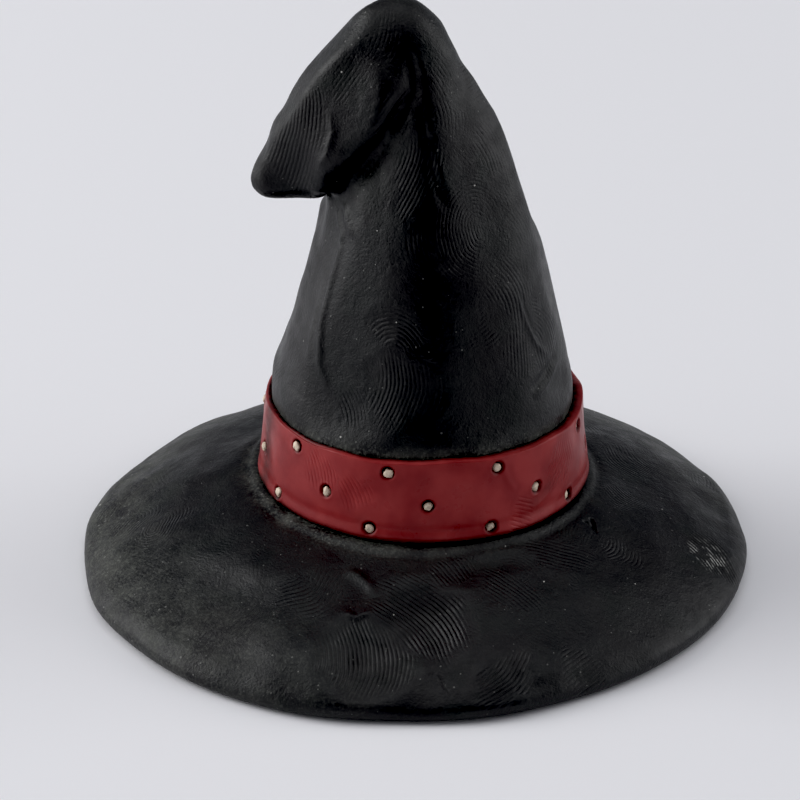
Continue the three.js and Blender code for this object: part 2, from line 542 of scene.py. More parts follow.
def make_clay_grain():
    """The fine tooth of pressed clay under paint."""
    group, given, out = new_group("clay grain", [("Position", VECTOR, None)], [("Height", FLOAT)])
    where = given.outputs["Position"]
    coarse = cloud(group, where, 0.9, 3.0, 0.6)
    fine = maths(group, "MULTIPLY", cloud(group, where, 0.24, 2.0, 0.6), 0.6)
    group.links.new(maths(group, "ADD", coarse, fine), out.inputs["Height"])
    return group


def make_specks():
    """Scattered dust grains and lint, about a tenth of a millimetre each. Few reach full size."""
    inputs = [("Position", VECTOR, None), ("Spacing", FLOAT, 2.4), ("Size", FLOAT, 0.1)]
    group, given, out = new_group("specks", inputs, [("Mask", FLOAT)])
    scale = maths(group, "DIVIDE", 1 / MM, given.outputs["Spacing"])
    inputs = {"Vector": given.outputs["Position"], "Scale": scale, "Randomness": 1.0}
    cells = add(group, "ShaderNodeTexVoronoi", inputs, feature="F1")
    gap = maths(group, "MULTIPLY", cells.outputs["Distance"], given.outputs["Spacing"])
    chance = add(group, "ShaderNodeSeparateColor", {"Color": cells.outputs["Color"]}).outputs["Red"]
    size = maths(group, "MULTIPLY", maths(group, "POWER", chance, 4.0), given.outputs["Size"])
    group.links.new(maths(group, "LESS_THAN", gap, size), out.inputs["Mask"])
    return group


def make_dust():
    """Pale dust caught where the surface says so, broken up into grains and smears. On the brim's far half
    and left side it also carries painted sheen.
    """
    inputs = [("Position", VECTOR, None), ("Amount", FLOAT, 0.0)]
    group, given, out = new_group("dust", inputs, [("Mask", FLOAT)])
    where = given.outputs["Position"]
    smears = ranged(group, cloud(group, where, 3.0, 4.0, 0.6), 0.35, 0.7)
    smears = maths(group, "MULTIPLY", smears, 0.35)
    grains = ranged(group, cloud(group, where, 0.35, 3.0, 0.7), 0.45, 0.75)
    grains = maths(group, "MULTIPLY", grains, 0.65)
    both = maths(group, "ADD", smears, grains)
    group.links.new(maths(group, "MULTIPLY", both, given.outputs["Amount"]), out.inputs["Mask"])
    return group


skin_ridges = make_skin_ridges()
clay_grain = make_clay_grain()
specks = make_specks()
dust = make_dust()


def new_paint(name):
    paint = bpy.data.materials.new(name)
    paint.use_nodes = True
    tree = paint.node_tree
    shader = tree.nodes["Principled BSDF"]
    where = tree.nodes.new("ShaderNodeTexCoord").outputs["Object"]
    return paint, tree, shader, where


def raised(tree, height, depth, under=None):
    """Relief from a height, as a normal, over the normal of any relief under it."""
    inputs = {"Height": height, "Distance": depth * MM}
    if under is not None:
        inputs["Normal"] = under
    return add(tree, "ShaderNodeBump", inputs).outputs["Normal"]


def roughen(tree, shader, where, ridge_depth, grain_depth):
    """Ridges and grain as relief."""
    ridges = use(tree, skin_ridges, {"Position": where}).outputs["Height"]
    grain = use(tree, clay_grain, {"Position": where}).outputs["Height"]
    both = raised(tree, grain, grain_depth, raised(tree, ridges, ridge_depth / 2))
    tree.links.new(both, shader.inputs["Normal"])


def make_black_paint():
    """Satin black, never quite one black, with dust, powder and lint on it and worn in one place. On the
    brim's far half and left side its dust grey is also painted sheen.
    """
    paint, tree, shader, where = new_paint("black_satin_paint")
    roughen(tree, shader, where, 1.1 * RIDGE_DEPTH, 0.085)
    broad = ranged(tree, cloud(tree, where, 9.0, 2.0), 0.35, 0.65)
    small = ranged(tree, cloud(tree, where, 5.0, 3.0), 0.5, 0.75, 0.0, 0.6)
    black = mixed(tree, small, mixed(tree, broad, BLUE_BLACK, VIOLET_BLACK), GREEN_BLACK)
    # the stored dust amount, which on the brim's far half and left side also carries painted sheen
    amount = stored(tree, "dust")
    dust_and_sheen_mask = use(tree, dust, {"Position": where, "Amount": amount}).outputs["Mask"]
    greyed = mixed(tree, dust_and_sheen_mask, black, DUST_AND_SHEEN_GREY)
    size = maths(tree, "ADD", maths(tree, "MULTIPLY", amount, 0.1), 0.1)
    powder = use(tree, specks, {"Position": where, "Spacing": 0.7, "Size": size}).outputs["Mask"]
    lint = use(tree, specks, {"Position": where, "Spacing": 2.0, "Size": size}).outputs["Mask"]
    powdered = mixed(tree, maths(tree, "MULTIPLY", powder, 0.3), greyed, POWDER_GREY)
    littered = mixed(tree, maths(tree, "MULTIPLY", lint, 0.8), powdered, LINT_WHITE)
    chips = ranged(tree, cloud(tree, where, 1.2, 3.0), 0.46, 0.6)
    chipped = maths(tree, "MULTIPLY", stored(tree, "worn"), chips)
    tree.links.new(mixed(tree, chipped, littered, WORN_GREY), shader.inputs["Base Color"])
    sheen = ranged(tree, cloud(tree, where, 2.2, 4.0, 0.6), 0.3, 0.7, 0.38, 0.52)
    dulled = maths(tree, "ADD", sheen, maths(tree, "MULTIPLY", dust_and_sheen_mask, 0.4), clamp=True)
    tree.links.new(dulled, shader.inputs["Roughness"])
    shader.inputs["Specular IOR Level"].default_value = 0.3
    return paint


def make_red_paint():
    """Semi-gloss red, turning dark brown along its foot, in and round its pits, in a few smears and on the
    hidden inside, and as painted shade at its left and right sides.
    """
    paint, tree, shader, where = new_paint("red_semi_gloss_paint")
    roughen(tree, shader, where, RIDGE_DEPTH, 0.014)
    red = mixed(tree, ranged(tree, cloud(tree, where, 4.0, 3.0), 0.35, 0.7), DEEP_RED, BRIGHT_RED)
    streaks = ranged(tree, cloud(tree, where, 0.7, 4.0, 0.65), 0.2, 0.6, 0.55, 1.0)
    # the stored darkening, which at the band's left and right sides is painted shade
    shade_and_darkening_mask = maths(tree, "MULTIPLY", stored(tree, "shade_and_darkening"), streaks, clamp=True)
    shaded_and_darkened = mixed(tree, shade_and_darkening_mask, red, SHADE_AND_DARK_BROWN)
    lint = use(tree, specks, {"Position": where, "Spacing": 3.6, "Size": 0.09}).outputs["Mask"]
    littered = mixed(tree, maths(tree, "MULTIPLY", lint, 0.5), shaded_and_darkened, LINT_PINK)
    tree.links.new(littered, shader.inputs["Base Color"])
    sheen = ranged(tree, cloud(tree, where, 1.8, 3.0), 0.3, 0.7, 0.26, 0.38)
    dulled = maths(tree, "ADD", sheen, maths(tree, "MULTIPLY", shade_and_darkening_mask, 0.2))
    tree.links.new(dulled, shader.inputs["Roughness"])
    shader.inputs["Specular IOR Level"].default_value = 0.2
    return paint


def make_cream_paint():
    """Dabbed cream, dirty in places."""
    paint, tree, shader, where = new_paint("cream_paint")
    grain = use(tree, clay_grain, {"Position": where}).outputs["Height"]
    tree.links.new(raised(tree, grain, 0.03), shader.inputs["Normal"])
    dirt = ranged(tree, cloud(tree, where, 0.35, 3.0), 0.45, 0.75, 0.0, 0.5)
    tree.links.new(mixed(tree, dirt, CREAM, DIRTY_CREAM), shader.inputs["Base Color"])
    sheen = ranged(tree, cloud(tree, where, 0.5, 2.0), 0.3, 0.7, 0.4, 0.6)
    tree.links.new(sheen, shader.inputs["Roughness"])
    return paint


black_paint = make_black_paint()
red_paint = make_red_paint()
cream_paint = make_cream_paint()


# -------- places on the hat


def place_at(centre_x, radius, angle, height):
    """A place at an angle, in degrees from +X, round an upright axis."""
    turn = math.radians(angle)
    return Vector((centre_x + radius * math.cos(turn), radius * math.sin(turn), height))


def line_on(place, *pairs):
    """A line of places on the brim, the crown or the band."""
    return [place(*pair) for pair in pairs]


def on_brim(angle, radius):
    """A place on top of the brim."""
    height = np.interp(radius, [SEAT_RADIUS, 23.4, 29, 34.2, 37.3], [CREST, 9.1, 7, 4.4, RIM_THICKNESS])
    return place_at(0, radius, angle, height)


def on_crown(angle, height):
    """A place on the cone of the crown."""
    radius = np.interp(height, [20, 30.5, 40, 48, 56, 64], [16.5, 14.7, 11.9, 9.2, 6.4, 3.6])
    return place_at(BAND_X + 0.3, radius, angle, height)


def band_radius(height):
    return np.interp(height, [band_low.z, band_high.z], [BAND_FOOT_RADIUS, BAND_TOP_RADIUS])


def on_band(angle, height):
    """A place on the outside of the band."""
    return place_at(BAND_X, band_radius(height), angle, height)


# -------- brim


def make_brim():
    """The turned blank, with a flat underside, a rounded rim and a domed top."""
    slope = [(BRIM_RADIUS - 0.45, RIM_THICKNESS), (34.2, 4.5), (29, 7.1), (23.4, 9.2)]
    slope = curve_points([*slope, (SEAT_RADIUS, CREST), (15.5, CREST)], 0.42)
    rim = [(BRIM_RADIUS - 1.4, 0), (BRIM_RADIUS - 0.35, 0.4), (BRIM_RADIUS, 1.2)]
    rim = curve_points([*rim, (BRIM_RADIUS - 0.15, 1.9), slope[0]], 0.4)
    underside = [(0, 0), (18, 0), (30, 0), (35, 0)]
    outline = [*underside, *rim[:-1], *slope, (8, CREST), (0, CREST)]
    return Clay(new_piece("brim_clay", spun(outline, BRIM_STEPS)))


def brim_prints():
    """The prints on the brim. A turn of 0 has its ridges running front to back."""
    behind = scattered_prints(11, 34, on_brim, (5, 200), (22, 35), (0.15, 0.4))
    in_front = scattered_prints(12, 14, on_brim, (195, 345), (22, 35), (0.06, 0.16))
    chosen = [
        Print(on_brim(246, 27.1), "arch", (4.6, 3.8), 35, 0.65, ridge=0.58),
        Print(on_brim(236, 31.5), "flow", (3.4, 3.4), -50, 0.5),
        Print(on_brim(281, 22.3), "flow", (3.6, 2.2), 38, 0.55),
        Print(on_brim(293, 25.4), "flow", (3.0, 4.2), 55, 0.6, ridge=0.5),
        Print(on_brim(313, 23.0), "flow", (2.6, 4.4), 84, 0.5, ridge=0.5),
        Print(on_brim(328, 26.9), "arch", (2.4, 2.8), 70, 0.4),
        Print(on_brim(350, 24.0), "arch", (2.6, 2.6), -30, 0.55),
        Print(on_brim(299, 36.0), "flow", (3.2, 2.6), -30, 0.6),
        Print(on_brim(345, 34.2), "flow", (3.0, 4.2), 48, ridge=0.5, deep=True),
        Print(on_brim(286, 35.6), "flow", (2.6, 4.4), -32, press=0.2, deep=True),
        Print(on_brim(272.4, 28.2), "flow", (4.8, 5.8), 40, 1.1, press=0.3, ridge=0.5, deep=True),
        Print(on_brim(261.6, 33.2), "flow", (5.4, 4.8), 2, 1.15, press=0.3, deep=True),
    ]
    return behind + in_front + chosen


def draw_out_rim(clay, angle, radius):
    """Draws the round blank out to the rim's own radii, most of all at its edge."""
    turn = np.degrees(angle) % 360 / RIM_STEP
    count = len(RIM_RADII)
    first = turn.astype(int) % count
    share = smoothstep(0, 1, turn % 1)
    radii = np.array(RIM_RADII)
    grown = radii[first] * (1 - share) + radii[(first + 1) % count] * share - BRIM_RADIUS
    grown += 0.08 * np.sin(9 * angle) + 0.05 * np.sin(14 * angle + 2)
    outward = smoothstep(20, BRIM_RADIUS, radius) * grown / BRIM_RADIUS
    clay.points[:, :2] *= 1 + outward[:, None]
    clay.settle()


def thumb_brim(clay):
    """Dents all over, and the larger ones in front, each with the clay it pushed up."""
    lumps(clay, 11.0, 0.5, 1)
    lumps(clay, 4.5, 0.1, 2)
    chance = random.Random(5)
    for _ in range(30):
        place = on_brim(chance.uniform(-60, 240), chance.uniform(23, 35))
        dent(clay, place, chance.uniform(2.2, 4.4), chance.uniform(0.05, 0.22), lip=0.04)
    dent(clay, on_brim(229, 29), 2.0, 0.14, lip=0.05)
    dent(clay, on_brim(238, 28.8), 2.2, 0.16, lip=0.06)
    dent(clay, on_brim(256, 26.2), 2.4, 0.08, lip=0.03)
    dent(clay, on_brim(250, 30.6), 1.8, 0.3, stretch=1.6, along=(1, -0.6, 0))
    dent(clay, on_brim(272, 28.6), 4.4, 0.55, lip=0.08)
    dent(clay, on_brim(262, 33.0), 4.4, 0.5, lip=0.18)
    dent(clay, on_brim(247, 34.0), 4.0, -0.4)
    dent(clay, on_brim(300, 30.0), 5.0, 0.3)
    dent(clay, on_brim(295, 21.8), 1.4, 0.3, stretch=2.8, along=(0.95, 0.3, 0), lip=0.06)
    dent(clay, on_brim(282, 23.2), 1.4, 0.12, stretch=2.2, along=(1, 0.1, 0), lip=0.05)
    dent(clay, on_brim(290, 36.6), 1.3, 0.4, stretch=1.8, along=(1, 0.2, 0))
    dent(clay, on_brim(298, 36.8), 1.0, 0.3, stretch=2.2, along=(1, 0.4, 0))


def score_brim(clay):
    """Pinched crests round the front dents, the slit at the rim and the nick near the band."""
    groove(clay, line_on(on_brim, (251, 22.8), (255, 23.2), (259, 24.4), (261, 25.8)), 0.6, -0.28)
    groove(clay, line_on(on_brim, (254, 28.6), (258, 28.9), (261, 27.8)), 0.45, -0.22)
    groove(clay, line_on(on_brim, (286, 20.6), (296, 20.3), (306, 20.8)), 0.45, -0.16)
    groove(clay, line_on(on_brim, (274.2, 34.6), (275, 35.6), (276.3, 36.8)), 0.14, 0.16)
    groove(clay, line_on(on_brim, (330, 21.4), (330.4, 22.4), (328.6, 23.6)), 0.2, 0.3)
    groove(clay, line_on(on_brim, (332.4, 22.0), (330.4, 22.6)), 0.2, 0.3, tapered=False)
    clay.settle()


def bed_band(clay):
    """A low bead squeezed out round the foot of the band, with a shallow hollow outside it."""
    angle, _ = around(clay.points)
    _, radius = around(clay.points, BAND_X)
    bead = BAND_FOOT_RADIUS + 0.55 + 0.2 * np.sin(3 * angle + 1) + 0.12 * np.sin(7 * angle)
    clay.push(0.14 * bell(radius - bead, 0.28) - 0.12 * bell(radius - bead - 0.8, 0.4))
    clay.settle()


def sculpt_brim(clay):
    """Works the top of the blank. The underside and the ring under the band stay as turned."""
    angle, radius = around(clay.points)
    draw_out_rim(clay, angle, radius)
    before = clay.points.copy()
    lip = 0.2 * bell(radius - BRIM_RADIUS + 1.5, 0.7)
    clay.push(lip * (0.6 + 0.4 * np.sin(5 * angle + 1)))
    thumb_brim(clay)
    _, radius = around(before)
    top = smoothstep(0.5, 2.0, before[:, 2]) * smoothstep(18.6, 21.0, radius)
    clay.points = before + (clay.points - before) * top[:, None]
    clay.settle()

    fingers = brim_prints()
    marks = [(on_brim(257, 24.6), 4.0), (on_brim(275, 35.8), 1.8), (on_brim(330.4, 22.4), 1.8)]
    refine(clay, fingers, BRIM_UP, 3, marks)
    relax(clay, 2)
    score_brim(clay)
    bed_band(clay)
    press_prints(clay, fingers, BRIM_UP, 2.6 * RIDGE_DEPTH)
    clay.strength *= 1.7
    return clay


def dust_and_sheen_brim(clay):
    """Dust lies in the corner under the band. The grey along the far half and the left side of the rim is
    partly dust and partly painted sheen, standing in for the light the brim catches there at a grazing
    angle.
    """
    angle, _ = around(clay.points)
    _, radius = around(clay.points, BAND_X)
    corner = bell(radius - BAND_FOOT_RADIUS - 0.6, 1.2)
    leftward = 0.2 + 0.8 * np.clip(np.cos(angle - math.radians(215)), 0, 1) ** 2
    # far and side: grey laid along the far half and the left of the rim, partly dust and partly painted
    # sheen
    far = smoothstep(-0.2, 0.9, np.sin(angle)) * smoothstep(24, 37, radius)
    side = np.clip(np.cos(angle - math.radians(190)), 0, 1) ** 2 * smoothstep(26, 38, radius)
    clay.keep("dust", np.clip(0.85 * corner * leftward + 0.9 * far + 0.7 * side + 0.07, 0, 1))
    scuff = distance(clay.points, on_brim(344, 34.0)) / 3.2
    crests = smoothstep(0.35, 0.9, np.sin(clay.phase))
    clay.keep("worn", crests * (1 - smoothstep(0.4, 1.1, scuff)))


brim = sculpt_brim(make_brim())
dust_and_sheen_brim(brim)
finish_piece(brim, "brim", black_paint)


# -------- crown


def add_roll(bm, line, girth):
    """A roll of clay along a line: balls of changing size, close enough to melt together."""
    line, marks = np.array(line), range(len(line))
    for step in np.linspace(0, len(line) - 1, 5 * len(line)):
        place = [np.interp(step, marks, line[:, axis]) for axis in range(3)]
        size = np.interp(step, marks, girth)
        shape = Matrix.Translation(place) @ Matrix.Scale(size, 4)
        bmesh.ops.create_icosphere(bm, subdivisions=3, radius=1, matrix=shape)


def make_crown():
    """The cone and its bent tip, with the roll of clay in front where the tip folds over."""
    bm = bmesh.new()
    bm.from_mesh(bpy.data.objects["crown"].data)
    bmesh.ops.remove_doubles(bm, verts=bm.verts, dist=1e-7)
    bmesh.ops.scale(bm, verts=bm.verts, vec=(1 / MM,) * 3)
    shoulder = [(-3.5, -0.8, 62.4), (-3.2, -1.9, 60.4), (-4.2, -3.4, 57.6)]
    add_roll(bm, shoulder, (2.85, 2.9, 3.3))
    fold = [(-4.1, -3.6, 57.6), (-6.0, -4.5, 54.6), (-8.3, -3.9, 51.2), (-10.5, -2.5, 48.0)]
    add_roll(bm, fold, (3.3, 3.7, 3.8, 3.5))
    belly = [(-5.2, -1.8, 60.6), (-7.4, -2.8, 57.6), (-9.4, -3.0, 54.4)]
    belly += [(-11.4, -2.4, 51.2), (-13.0, -1.4, 48.4)]
    add_roll(bm, belly, (3.0, 3.3, 3.5, 3.4, 3.2))
    tip = [(-12.0, -0.4, 48.4), (-15.0, -0.6, 45.6), (-16.5, -0.4, 45.0)]
    add_roll(bm, tip, (4.2, 2.6, 1.4))
    right = [(2.6, 0, 56.4), (4.5, 0, 53.2), (6.1, 0, 50.4), (7.2, 0, 47.6), (8.1, 0, 44.8)]
    add_roll(bm, right, (3.5,) * 5)
    clay = Clay(remeshed(new_piece("crown_clay", bm), CROWN_SKIN))
    relax(clay, 7)
    return clay


def crown_prints():
    """The prints on the crown. A turn of 0 has its ridges running up and down."""
    behind = scattered_prints(23, 30, on_crown, (-5, 190), (22, 62))
    in_front = scattered_prints(24, 8, on_crown, (200, 340), (22, 56), (0.08, 0.2))
    chosen = [
        Print(on_crown(300, 57), "flow", (3.0, 4.5), 6, 0.3),
        Print(on_crown(330, 50), "flow", (3.0, 4.4), 14, 0.45),
        Print(on_crown(238, 24.6), "flow", (2.0, 2.4), 30, 0.6),
        Print(on_crown(245, 28.2), "flow", (2.0, 2.4), 60, 0.5),
        Print(on_crown(330, 30.5), "loop", (3.6, 5.6), 15, 0.7, core=(-2.6, 0)),
        Print(on_crown(300, 33.5), "flow", (3.4, 3.6), -55, 0.7),
        Print((-3.4, -3.5, 63.0), "flow", (2.4, 3.6), -12, 0.25),
        Print((-7.2, -5.0, 58.8), "flow", (2.6, 3.0), -24, 0.3),
        Print((-3.5, -6.5, 55.5), "flow", (2.6, 3.6), -42, 0.4),
        Print(on_crown(314, 34), "flow", (3.6, 8.0), 8, 0.7, deep=True),
        Print(on_crown(262, 49.4), "flow", (2.6, 4.8), -13, 0.8, ridge=0.42, deep=True),
        Print(on_crown(300, 43), "whorl", (7.4, 7.6), 10, 0.55, (0.6, 0.2), press=0.14, ridge=0.43),
        Print(on_crown(320, 42.0), "flow", (4.2, 6.4), 16, 0.35, press=0.02),
        Print(on_crown(260, 27.2), "flow", (4.4, 4.4), -5, 0.75, press=0.2, deep=True),
        Print(on_crown(257, 33.6), "loop", (3.6, 2.4), -22, 0.75, (0.6, -2.6), press=0.15, deep=True),
        Print((-13.0, -4.0, 51.0), "flow", (3.8, 6.8), -10, 0.7, press=0.12, deep=True),
    ]
    return behind + in_front + chosen


def thumb_crown(clay):
    """Flats and dents pressed all round the cone, with the broad flats in front."""
    lumps(clay, 9.0, 0.4, 4)
    lumps(clay, 3.5, 0.07, 5)
    clay.settle()
    chance = random.Random(8)
    for _ in range(16):
        angle = chance.uniform(-10, 190)
        place = on_crown(angle, chance.uniform(22, 60))
        flatten(clay, place, chance.uniform(4, 8), chance.uniform(0.2, 0.6))
    for _ in range(30):
        angle = chance.uniform(-20, 200)
        place = on_crown(angle, chance.uniform(22, 62))
        dent(clay, place, chance.uniform(1.6, 3.4), chance.uniform(0.08, 0.25), lip=0.05)
    flats = ((203, 34, 14, 0.45), (236, 31, 15, 0.95), (268, 27, 9, 0.3), (294, 31, 12, 1.0, 0.3))
    flats += ((330, 33, 9, 0.4), (336, 23.2, 4.0, 0.35), (240, 48, 7, 0.45))
    flats += ((318, 52, 9, 0.4), (307, 47, 8, 0.5))
    for angle, height, *pressed in flats:
        flatten(clay, on_crown(angle, height), *pressed)
    dent(clay, on_crown(276, 37), 4.5, 0.25)
    clay.settle()
    relax(clay, 120, on_crown(272, 33), 12)
    relax(clay, 60, (-8.0, -5.0, 57.0), 5)
    relax(clay, 40, (-4.6, -2.4, 62.0), 2.6)


def bend_tip(clay):
    """Evens the back of the bend, then presses its front and trims the blunt end underneath."""
    drags = (
        ((-5.4, -0.5, 64.4), 1.6, (-0.35, 0, 0.35)),
        ((-8.6, 0, 61.4), 2.6, (0.45, 0, -0.35)),
        ((-10.4, 0, 59.2), 1.8, (0.2, 0, -0.15)),
        ((-12.6, 0, 56.2), 1.8, (-0.1, 0, 0)),
        ((-14.4, 0, 53.0), 1.8, (0.3, 0, 0)),
        ((-16.2, 0, 49.6), 2.2, (0.7, 0, -0.1)),
        ((-17.4, 0, 46.6), 2.0, (-0.4, 0, 0.1)),
        ((-10.6, 0, 42.4), 1.8, (0.7, 0, 0)),
    )
    for place, reach, move in drags:
        pull(clay, place, reach, move)
    flatten(clay, (-14.2, -3.3, 49.0), 4.2, 0.0, 0.3, facing=(-0.33, -0.93, -0.16))
    flatten(clay, (-8.0, -5.6, 55.5), 6.0, 0.0, 0.3, facing=(-0.44, -0.86, 0.26))
    flatten(clay, (-4.8, -5.5, 60.0), 3.6, 0.0, 0.3, facing=(-0.4, -0.82, 0.4))
    flatten(clay, (-13.6, 0, 43.1), 6.0, 0.0, facing=(0.03, -0.3, -0.95))
    flatten(clay, (-9.6, 0, 43.9), 4.5, 0.0, facing=(0.3, -0.4, -0.87))
    flatten(clay, (-17.0, 0, 43.7), 2.5, 0.0, facing=(-0.65, -0.05, -0.75))
    flatten(clay, (-9.9, -1.0, 41.5), 3.2, 0.0, facing=(-0.98, 0, 0.2))
    flatten(clay, (-14.5, -2.6, 44.6), 4.0, 0.0, 0.25, facing=(-0.05, -0.72, -0.69))
    dent(clay, (-5.6, -6.4, 50.0), 2.4, 0.6)
    flatten(clay, (-13.0, -3.8, 51.5), 5.0, 0.25, 0.3)
    clay.settle()
    relax(clay, 24, (-9.4, -5.6, 53.0), 2.6)
    relax(clay, 24, (-9.2, -3.6, 43.8), 1.8)


def crease_fold(clay):
    """The crease beside the fold, and the small folds squeezed out under it."""
    crease = [(-1.4, -4.6, 62.4), (-0.6, -5.6, 60.2), (-0.6, -6.4, 57.8)]
    crease += [(-1.8, -6.8, 55.2), (-4.2, -6.2, 51.4), (-6.8, -5.4, 47.0)]
    relax(clay, 12, (-1.4, -5.4, 59.5), 2.0)
    groove(clay, crease, 0.8, 0.6)
    groove(clay, [(-0.7, -4.8, 62.8), (0.1, -5.6, 60.8), (0.5, -6.0, 59.0)], 0.4, -0.2)
    groove(clay, [(0.1, -6.2, 57.6), (0.2, -6.9, 55.6), (0.5, -7.8, 52.9)], 0.3, 0.12)
    groove(clay, [(-8.2, -5.2, 44.8), (-7.4, -6.4, 43.4), (-6.6, -7.4, 41.8)], 0.4, -0.3)
    groove(clay, [(-9.2, -5.0, 43.8), (-8.6, -6.0, 42.2), (-8.2, -6.6, 40.8)], 0.4, -0.3)
    clay.settle()


def border_flats(clay):
    """Thin ridges and scores where the flats and prints in front end."""
    left = line_on(on_crown, (214, 45), (216, 41), (215, 37), (216, 32), (220, 28), (228, 25))
    groove(clay, left, 0.42, -0.3)
    groove(clay, line_on(on_crown, (208, 36), (210, 31), (214, 27)), 0.4, -0.12)
    groove(clay, line_on(on_crown, (267, 56), (267, 54), (269, 52.8)), 0.3, 0.14)
    dent(clay, on_crown(269, 52.8), 0.6, 0.25)
    middle = line_on(on_crown, (270, 52.4), (273, 50), (278, 47.4), (284, 45.5))
    groove(clay, middle, 0.55, 0.26)
    groove(clay, line_on(on_crown, (273, 52), (277, 50), (282, 47.6)), 0.7, -0.12)
    groove(clay, line_on(on_crown, (318, 36), (321, 33), (325, 30), (333, 27.6)), 0.4, -0.2)
    groove(clay, line_on(on_crown, (319.5, 36), (322.5, 33), (326.5, 30.4)), 0.35, 0.16)
    groove(clay, line_on(on_crown, (318, 24.4), (328, 25.4), (341, 26.6)), 0.4, -0.3)
    groove(clay, line_on(on_crown, (318, 25.4), (328, 26.4), (340, 27.6)), 0.45, 0.18)
    tip = [(-9.8, -5.8, 55.4), (-9.1, -6.2, 53.2), (-9.5, -6.2, 50.6), (-11.2, -5.4, 47.6)]
    groove(clay, tip, 0.4, -0.2)
    clay.settle()


def sculpt_crown(clay):
    """Works the crown above the band. It swells a little where it leaves the band."""
    before = clay.points.copy()
    thumb_crown(clay)
    bend_tip(clay)
    top = smoothstep(20.0, 22.5, before[:, 2])
    clay.points = before + (clay.points - before) * top[:, None]
    height = clay.points[:, 2]
    swell = smoothstep(17, 19.5, height) * (1 - smoothstep(20.5, 25, height))
    clay.points[:, :2] += 0.3 * swell[:, None] * clay.normals[:, :2]
    clay.settle()

    fingers = crown_prints()
    refine(clay, fingers, CROWN_UP, 2)
    relax(clay, 2)
    crease_fold(clay)
    border_flats(clay)
    press_prints(clay, fingers, CROWN_UP)
    return clay


def dust_crown(clay):
    """Dust lies in the corner above the band, and a little on whatever faces up."""
    seam = bell(clay.points[:, 2] - band_high.z, 0.9)
    upward = np.clip(clay.normals[:, 2], 0, 1) ** 2
    clay.keep("dust", np.clip(0.7 * seam + 0.15 * upward + 0.04, 0, 1))
    clay.keep("worn", np.zeros(len(clay.points)))


crown = sculpt_crown(make_crown())
dust_crown(crown)
finish_piece(crown, "crown", black_paint)


# -------- band


def make_band():
    """A closed strip, turned in one piece, with rounded edges outside."""
    low, high = band_low.z, band_high.z
    foot, top = band_radius(low), band_radius(high)
    outer = [(foot - 0.75, low), (foot - 0.2, low + 0.08), (foot, low + 0.5), (band_radius(15), 15)]
    outer += [(top, high - 0.5), (top - 0.2, high - 0.08), (top - 0.75, high)]
    outer = curve_points(outer, 0.2)
    inner = [(top - BAND_THICKNESS, high - 0.2), (foot - BAND_THICKNESS, low + 0.1)]
    return Clay(new_piece("band_clay", spun([*outer, *inner], BAND_STEPS, BAND_X, closed=True)))


def dot_places():
    """Each dot's node name with the middle of its box."""
    places = {}
    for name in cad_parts:
        if name.startswith("dot_"):
            low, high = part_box(name)
            places[name] = (low + high) / 2 / MM
    return places


def band_prints():
    """The prints on the band. A turn of 0 has its ridges running up and down."""
    behind = scattered_prints(31, 16, on_band, (-10, 190), (12, 19), (0.2, 0.45), (2.4, 3.4))
    chosen = [
        Print(on_band(232, 17.2), "flow", (2.4, 2.8), 18),
        Print(on_band(246, 16.2), "flow", (2.6, 2.0), 24, 0.6),
        Print(on_band(326, 16.6), "flow", (2.6, 3.0), -30, 0.9),
        Print(on_band(306, 12.8), "flow", (3.0, 1.4), 70, 0.5),
    ]
    return behind + chosen


def thumb_band(clay):
    """Thumbs the outside of the strip and rolls its foot. The hidden inside stays as turned."""
    _, radius = around(clay.points, BAND_X)
    height = clay.points[:, 2].copy()
    outside = smoothstep(0.15, 0.6, radius - band_radius(height) + 0.8)
    before = clay.points.copy()
    clay.points[:, 0] += 0.25
    lumps(clay, 6.0, 0.22, 6)
    lumps(clay, 2.4, 0.04, 7)
    fingers = band_prints()
    dent(clay, on_band(318, 14.2), 1.8, 0.2, stretch=1.8, along=(0.7, 0.3, 0.6), lip=0.05)
    dent(clay, on_band(302, 17.6), 2.2, 0.12)
    dent(clay, on_band(198, 14.0), 1.6, 0.18, stretch=1.6)
    groove(clay, line_on(on_band, (299, 18.8), (301, 17.0), (304, 15.4)), 0.35, -0.08)
    groove(clay, line_on(on_band, (310, 12.6), (318, 13.6), (326, 15.6)), 0.5, -0.1)
    height = clay.points[:, 2]
    foot = 0.04 * bell(height - band_low.z - 0.55, 0.45)
    clay.push(foot - 0.08 * bell(height - band_low.z - 1.5, 0.5))
    clay.settle()
    press_prints(clay, fingers, CROWN_UP)
    thumbed = clay.points
    clay.points = before + (thumbed - before) * outside[:, None]
    return outside, thumbed[:, 2]


def shade_and_darken_band(clay, angle, outside, height):
    """How dark the paint is made: along the foot, in a narrow strip at the left, on the hidden inside and
    in a few smears. At both sides it is painted shade, darker paint where the lamps light the band more.
    """
    shade = 0.8 * (1 - smoothstep(band_low.z + 0.2, band_low.z + 0.7, height)) + 0.9 * (1 - outside)
    # the cos squared term is painted shade: darker paint at both sides of the band
    shade += 0.55 * bell(np.degrees(angle) % 360 - 196, 5) + 0.2 * np.cos(angle) ** 2
    smears = ((312, 13.4, 1.3), (318, 14.6, 1.1), (330, 12.4, 1.2), (250, 12.6, 1.0))
    for turn, level, reach in smears:
        shade += 0.3 * bell(distance(clay.points, on_band(turn, level)), reach)
    return shade


